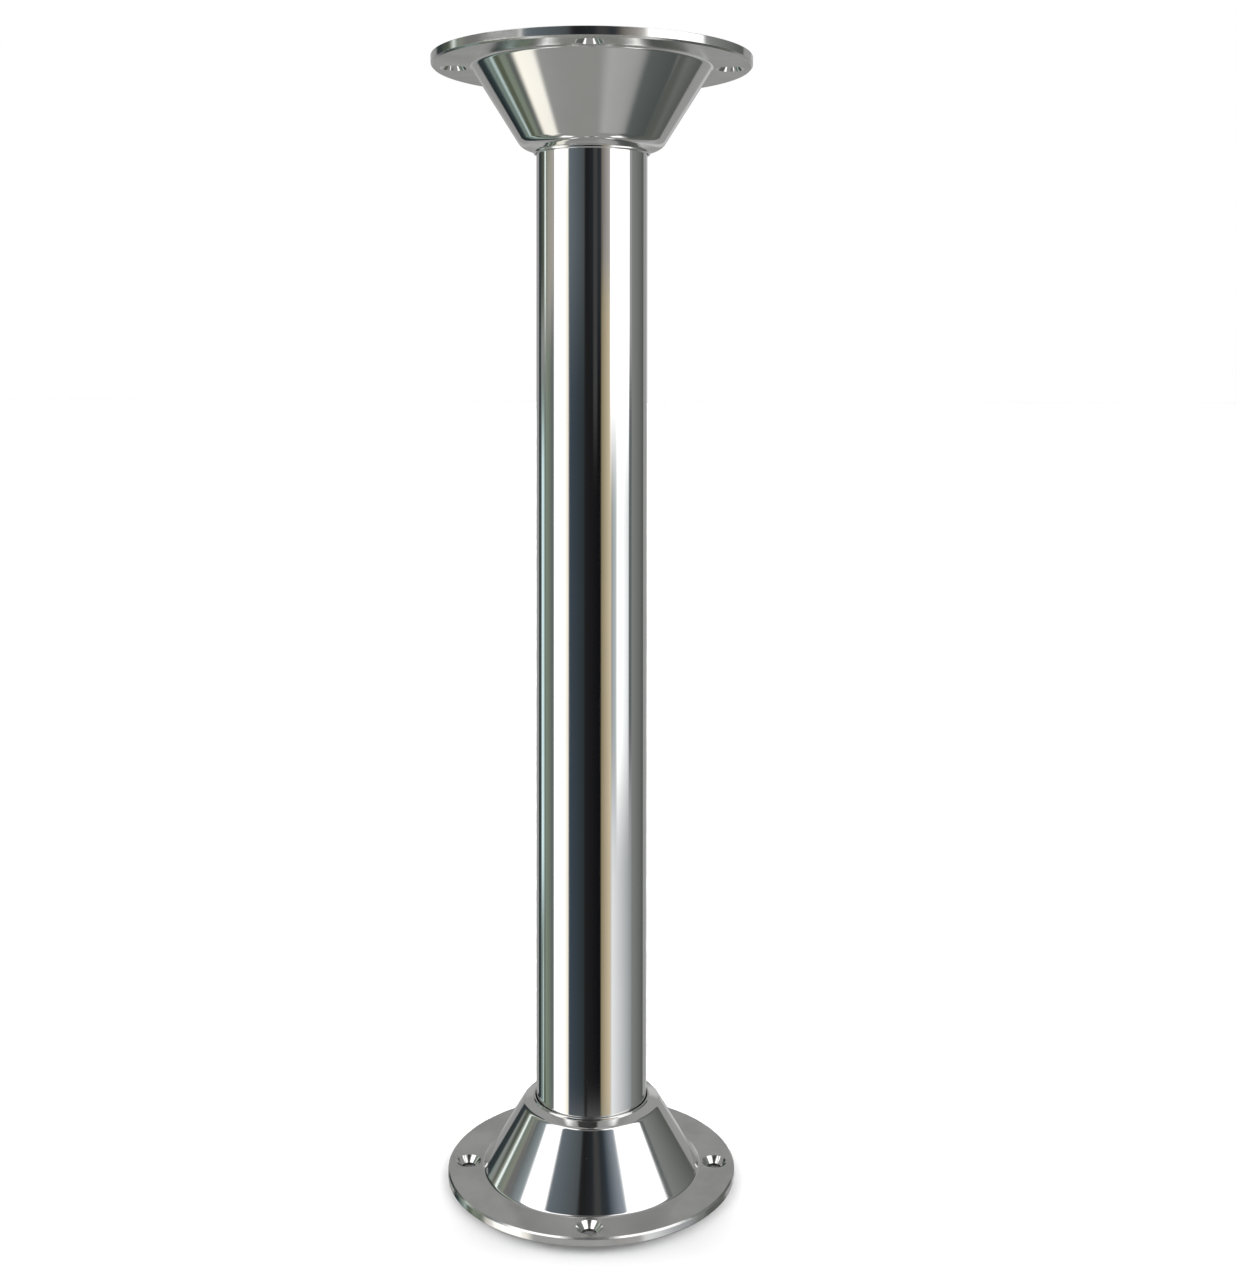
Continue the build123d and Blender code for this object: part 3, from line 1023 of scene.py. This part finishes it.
@dataclass
class Studio:
    """Camera, pale floor, and the soft cards that the metal mirrors.

    The floor and other matt things are lit from low behind the leg. That light has its full strength
    where a ray points far enough back and stays low, and a small share of it is left overhead.

    Args:
        distance: of the camera in front of the leg's axis.
        eye_height: of the camera.
        sideways: how far the camera stands to the right.
        tilt: how far it looks down, in degrees.
        roll: how far it leans, in degrees.
        lens: its focal length in millimetres.
        floor_size: side of the floor.
        floor_shade: its base colour.
        floor_light: strength of the light from behind.
        floor_fill: strength of the even light from all round.
        light_behind: part of a ray that points back, where that light sets in and where it is full.
        light_height: part of a ray that points up, where it starts to fade and where it has faded.
        light_overhead: the share that is left overhead.
        bounced_light: what polished metal passes on to matt things.
        cards: from the back to the front.
    """

    distance: float = 0.971
    eye_height: float = 0.525
    sideways: float = 0.0158
    tilt: float = 9.82
    roll: float = -0.195
    lens: float = 44.77
    floor_size: float = 40.0
    floor_shade: float = 0.9
    floor_light: float = 20.0
    floor_fill: float = 0.06
    light_behind: tuple[float, float] = (0.1, 0.55)
    light_height: tuple[float, float] = (0.3, 0.62)
    light_overhead: float = 0.012
    bounced_light: Colour = (0.05, 0.05, 0.05)
    cards: tuple[Card, ...] = (
        Card("left light on the floor", (-112, -80), (-74, -64), WHITE, side_softness=6.0),
        Card("right light on the floor", (80, 112), (-74, -64), WHITE, side_softness=6.0),
        Card("left flag", (-142, -129), (-27, 50), tone(45, 52, 54), tone(56, 62, 64)),
        Card("left flag, lower part", (-142, -124), (-60, -14), tone(20, 26, 28), tone(66, 78, 80)),
        Card("left cool strip", (-129, -110), (-60, 0), tone(112, 126, 120), tone(100, 110, 98), 3.0),
        Card("left teal strip", (-126, -115), (-19, -2), tone(226, 250, 255), tone(190, 214, 216), 3.0),
        Card("left warm strip, upper part", (-129, -104), (2, 50),
             tone(140, 142, 134), tone(128, 130, 120)),
        Card("left green wall, upper part", (-130, -117), (2, 50), tone(66, 71, 64), tone(80, 87, 77)),
        Card("left bright line, upper part", (-114, -110), (2, 50), tone(236, 246, 242)),
        Card("left grey wall, upper part", (-110, -104), (6, 50), tone(104, 115, 107), tone(122, 128, 118)),
        Card("left bright line, low part", (-121, -117), (-60, -20),
             tone(184, 204, 204), tone(184, 200, 198)),
        Card("left olive wall", (-110, -92), (-60, 2), tone(126, 136, 122), tone(100, 108, 98)),
        Card("left pale wall, upper part", (-104, -86), (2, 12), tone(150, 146, 134), tone(160, 156, 149)),
        Card("left olive wall, upper part", (-105, -94), (8, 50), tone(124, 128, 117), tone(134, 137, 125)),
        Card("left dark olive strip, low part", (-117, -109), (-60, -25),
             tone(80, 86, 70), tone(84, 90, 76), 3.0),
        Card("left dark strip, low part", (-101, -93), (-60, -31), tone(92, 96, 93), tone(94, 98, 96), 3.0),
        Card("left dark edge", (-92, -86), (-27, 2), tone(92, 98, 98), tone(90, 97, 100)),
        Card("left white card", (-83, -49), (-34, 50), WHITE, WHITE, 4.0, 8.0),
        Card("left white card, low part", (-93, -69), (-54, -30),
             tone(255, 250, 238), tone(246, 243, 234), 8.0, 6.0),
        Card("left slate wall, upper part", (-95, -77), (10, 50),
             tone(88, 94, 94), tone(142, 150, 154), 3.0, 3.0),
        Card("shelf before the white card", (-100, -50), (9, 15), tone(106), tone(112), 4.0, 2.0),
        Card("warm edge of the white card", (-56, -48), (-32, 8),
             tone(254, 252, 240), tone(238, 233, 218), 3.0),
        Card("slate flag", (-47, -8), (-27, 50), tone(62, 71, 80), tone(43, 49, 50), 4.0),
        Card("slate flag, upper part", (-48, -3), (2, 50), tone(98, 107, 114), tone(61, 63, 62), 4.0, 8.0),
        Card("black flag", (-14, 23), (-27, 50), tone(38, 37, 38), tone(18, 20, 22), 4.0),
        Card("black flag, upper part", (-9, 23), (2, 50), tone(34, 35, 36), tone(50, 55, 60), 4.0, 8.0),
        Card("grey streak in the black flag", (4, 12), (-2, 50), tone(66), tone(64), 4.0),
        Card("cream wall", (20, 42), (-27, 4), tone(134, 124, 98), tone(204, 190, 164), 3.0),
        Card("warm wall above the cream one", (20, 41), (4, 16),
             tone(104, 99, 92), tone(176, 172, 170), 3.0),
        Card("dark wall above the warm one", (19, 40), (16, 50), tone(42, 52, 60), tone(150, 157, 166), 3.0),
        Card("right grey card", (42, 92), (-34, -14), tone(226, 228, 230), tone(138, 141, 144), 4.0, 9.0),
        Card("right pale card", (42, 55), (-14, -2), tone(142, 146, 146), tone(190, 198, 202), 4.0, 7.0),
        Card("right white card, low corner", (54, 84), (-15, 4), WHITE, tone(215, 218, 220), 5.0, 6.0),
        Card("right white card", (39, 85), (-2, 50), WHITE, WHITE, 3.0, 6.0),
        Card("right dark edge", (84, 92), (-14, 0), tone(88, 94, 98), tone(96, 100, 100)),
        Card("right dark edge, upper part", (86, 94), (11, 50), tone(84, 90, 93), tone(96, 98, 97)),
        Card("right dark edge, low part", (67, 108), (-60, -32), tone(92, 97, 96), tone(74, 78, 77), 14.0),
        Card("right grey wall", (92, 136), (-32, 50), tone(124, 126, 124), tone(82, 85, 81)),
        Card("right grey wall, low part", (104, 136), (-60, -28), tone(84, 87, 83), tone(96, 98, 94), 4.0),
        Card("right pale strip", (157, 168), (-40, 20), tone(176), tone(190), 5.0),
        Card("left pale strip", (-168, -157), (-40, 20), tone(165), tone(158), 5.0),
        Card("pale patch of floor", (19, 62), (-62, -40), tone(164), tone(152), 20.0, 10.0),
        Card("overhead softbox", (-85, 85), (46, 62), WHITE, WHITE, 24.0, 5.0),
        Card("gap in the softbox", (-26, 26), (42, 64), tone(104), tone(104), 12.0, 4.0),
        Card("dark ceiling", (-46, 22), (62, 84), tone(60), tone(52), 8.0, 5.0),
    )

    def build(self) -> None:
        """Builds the floor, the light and the camera."""
        self.build_floor()
        self.build_sky()
        self.build_camera()

    def build_floor(self) -> None:
        """A plain pale floor, which the metal doesn't mirror."""
        bpy.ops.object.select_all(action="DESELECT")
        bpy.ops.mesh.primitive_plane_add(size=self.floor_size)
        floor = bpy.context.object
        floor.name = "studio_floor"
        floor.visible_glossy = False
        made = bpy.data.materials.new("pale_floor")
        made.use_nodes = True
        bench = NodeBench(made.node_tree)
        shader = bench.node("ShaderNodeBsdfDiffuse")
        shader.inputs["Color"].default_value = (*[self.floor_shade] * 3, 1.0)
        output = bench.node("ShaderNodeOutputMaterial")
        bench.feed(output.inputs["Surface"], shader.outputs["BSDF"])
        floor.data.materials.append(made)

    def build_sky(self) -> None:
        """Light from all round: white to the camera, even on matt things, cards in the metal."""
        world = bpy.data.worlds.new("studio_light")
        world.use_nodes = True
        bpy.context.scene.world = world
        bench = NodeBench(world.node_tree)
        x, y, z = bench.split(bench.node("ShaderNodeTexCoord").outputs["Generated"])
        to_degrees = degrees(1.0)
        towards_camera = bench.math("MULTIPLY", y, -1.0)
        azimuth = bench.math("MULTIPLY", bench.math("ARCTAN2", x, towards_camera), to_degrees)
        elevation = bench.math("MULTIPLY", bench.math("ARCSINE", z), to_degrees)
        light = self.walls(bench, elevation)
        for card in self.cards:
            light = self.hang(bench, card, azimuth, elevation, light)
        rays = bench.node("ShaderNodeLightPath").outputs
        light = bench.mix(bench.math("MINIMUM", rays["Diffuse Depth"], 1.0), light, self.bounced_light)
        low_behind = bench.math("MULTIPLY", bench.remap(y, *self.light_behind),
                                bench.remap(z, *self.light_height, 1.0, self.light_overhead))
        light = bench.mix(rays["Is Diffuse Ray"], light, bench.math(
            "MULTIPLY_ADD", low_behind, self.floor_light, self.floor_fill))
        light = bench.mix(rays["Is Camera Ray"], light, (1.0, 1.0, 1.0))
        glow = bench.node("ShaderNodeBackground")
        bench.feed(glow.inputs["Color"], light)
        output = bench.node("ShaderNodeOutputWorld")
        bench.feed(output.inputs["Surface"], glow.outputs[0])

    def walls(self, bench: NodeBench, elevation: Source) -> NodeSocket:
        """Light of the walls, floor and ceiling behind the cards, by elevation in degrees."""
        floor = bench.mix(bench.remap(elevation, -58, -30), tone(137, 137, 135), tone(158))
        light = bench.mix(bench.remap(elevation, -32, -22), floor, tone(146))
        return bench.mix(bench.remap(elevation, 60, 86), light, tone(158))

    def hang(self, bench: NodeBench, card: Card, azimuth: Source, elevation: Source,
             behind: Source) -> NodeSocket:
        """Hangs one card in front of what is there.

        Args:
            bench: the world's bench.
            card: the card.
            azimuth: of the ray, in degrees.
            elevation: of the ray, in degrees.
            behind: light of what the card covers.

        Returns:
            The light's socket with the card in place.
        """
        log.debug("card: %s", card.name)
        cover: Source = 1.0
        for value, (low, high), soft in ((azimuth, card.azimuth, card.side_softness / 2),
                                         (elevation, card.elevation, card.end_softness / 2)):
            rise = bench.remap(value, low - soft, low + soft)
            fall = bench.remap(value, high - soft, high + soft, 1.0, 0.0)
            cover = bench.math("MULTIPLY", cover, bench.math("MULTIPLY", rise, fall))
        across = bench.remap(azimuth, *card.azimuth, smooth=False)
        return bench.mix(cover, behind, bench.mix(across, card.left, card.right or card.left))

    def build_camera(self) -> None:
        """The camera, which looks slightly down at the leg from in front."""
        data = bpy.data.cameras.new("studio_camera")
        data.lens = self.lens
        camera = bpy.data.objects.new("studio_camera", data)
        bpy.context.collection.objects.link(camera)
        camera.location = (self.sideways, -self.distance, self.eye_height)
        camera.rotation_euler = (radians(90 - self.tilt), radians(self.roll), 0)
        bpy.context.scene.camera = camera
        bpy.context.scene.view_settings.view_transform = "Standard"


def main() -> None:
    """Builds the studio, the two sockets and the post."""
    logging.basicConfig(level=logging.INFO, format="%(name)s: %(message)s")
    Studio().build()
    post = Post()
    base = Socket(
        "base", "base", "lower_bearing", turned_over=False, bore_radius=post.foot_radius + BORE_PLAY,
        collar_width=7.6 * MM, mouth_rounding=3.5 * MM)
    top_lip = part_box("top_socket")[0].z
    top = Socket(
        "top", "top", "upper_bearing", turned_over=True, bore_radius=post.radius(top_lip) + BORE_PLAY,
        collar_width=8.8 * MM, mouth_rounding=9.0 * MM)
    for assembly in (base, top, post):
        assembly.build()


if __name__ == "__main__":
    main()
